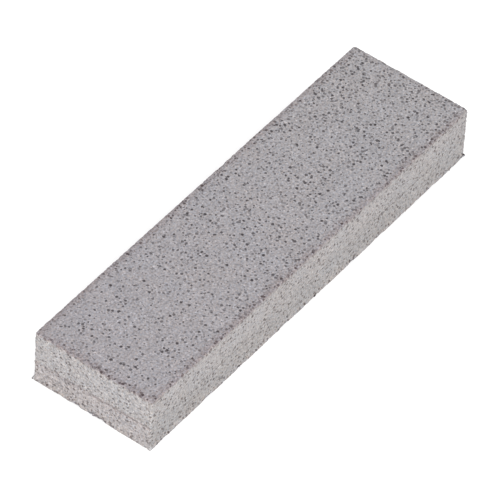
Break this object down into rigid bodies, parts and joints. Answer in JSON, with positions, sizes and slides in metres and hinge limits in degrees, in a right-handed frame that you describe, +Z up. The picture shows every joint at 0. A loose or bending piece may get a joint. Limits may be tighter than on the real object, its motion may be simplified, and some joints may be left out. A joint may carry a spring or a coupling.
{
  "type": "sharpening whetstone",
  "caption": "Slim rectangular hand whetstone of speckled grey abrasive in two layers, joined at a fine seam, with a small pressed lip round the foot.",
  "frame": {"origin": "middle of the underside, the face that rests on the bench", "axes": "+X along the stone's length, +Y across its width, +Z up, out of the upper honing face"},
  "size_m": [0.0906, 0.0256, 0.0116],
  "materials": {
    "upper_abrasive": "matte",
    "seam_cement": "matte",
    "lower_abrasive": "matte"
  },
  "bodies": {
    "root": {"upper_abrasive_layer": "upper_abrasive", "seam_cement": "seam_cement", "lower_abrasive_layer": "lower_abrasive"}
  },
  "joints": []
}
